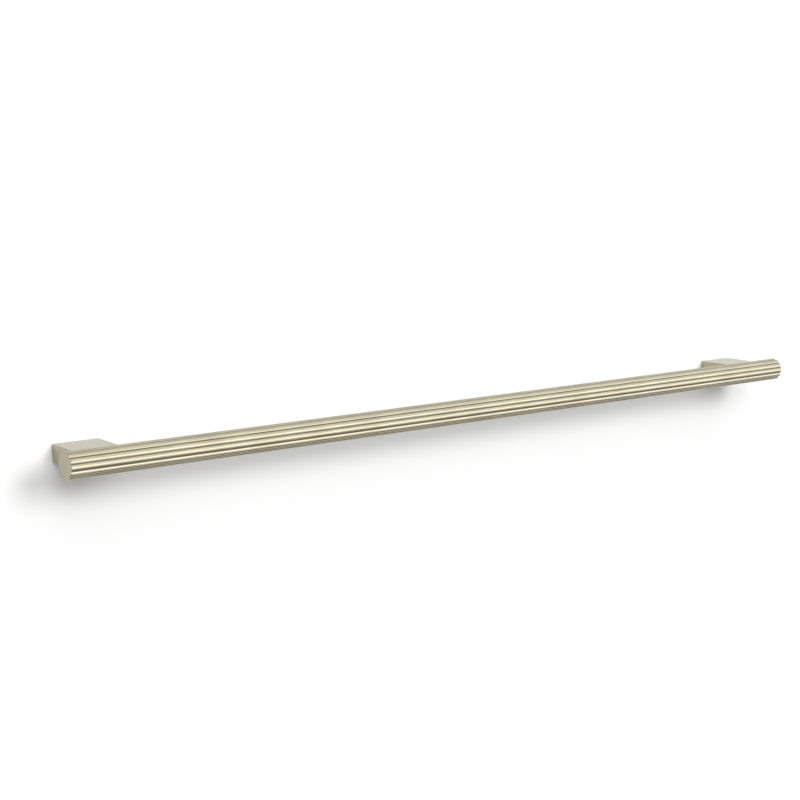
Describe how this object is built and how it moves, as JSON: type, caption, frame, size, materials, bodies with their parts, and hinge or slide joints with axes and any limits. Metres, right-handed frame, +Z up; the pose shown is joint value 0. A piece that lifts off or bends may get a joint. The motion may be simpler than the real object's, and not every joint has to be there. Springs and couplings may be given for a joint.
{
  "type": "towel rail",
  "caption": "Straight reeded towel bar with flat ends, held off the wall near each end by a low rectangular block bracket that hides its wall plate.",
  "frame": {"origin": "on the wall plane, midway between the brackets and level with the axis of the bar", "axes": "+X along the bar, +Y into the wall, +Z up; the bar lies on the -Y side of the wall plane"},
  "size_m": [0.8, 0.0614, 0.0218],
  "materials": {
    "satin_nickel": "pale champagne nickel over brass, satin",
    "plate_steel": "zinc plated",
    "screw_steel": "stainless, as turned",
    "bare_brass": "bare, as turned"
  },
  "bodies": {
    "root": {"rail_tube": "satin_nickel", "end_cap_left": "satin_nickel", "end_cap_right": "satin_nickel", "bracket_left": "satin_nickel", "bracket_right": "satin_nickel", "wall_plate_left": "plate_steel", "wall_plate_right": "plate_steel", "bar_screw_left": "screw_steel", "bar_screw_right": "screw_steel", "screw_washer_left": "screw_steel", "screw_washer_right": "screw_steel", "grub_screw_left": "screw_steel", "grub_screw_right": "screw_steel", "bar_nut_left": "bare_brass", "bar_nut_right": "bare_brass"}
  },
  "joints": []
}
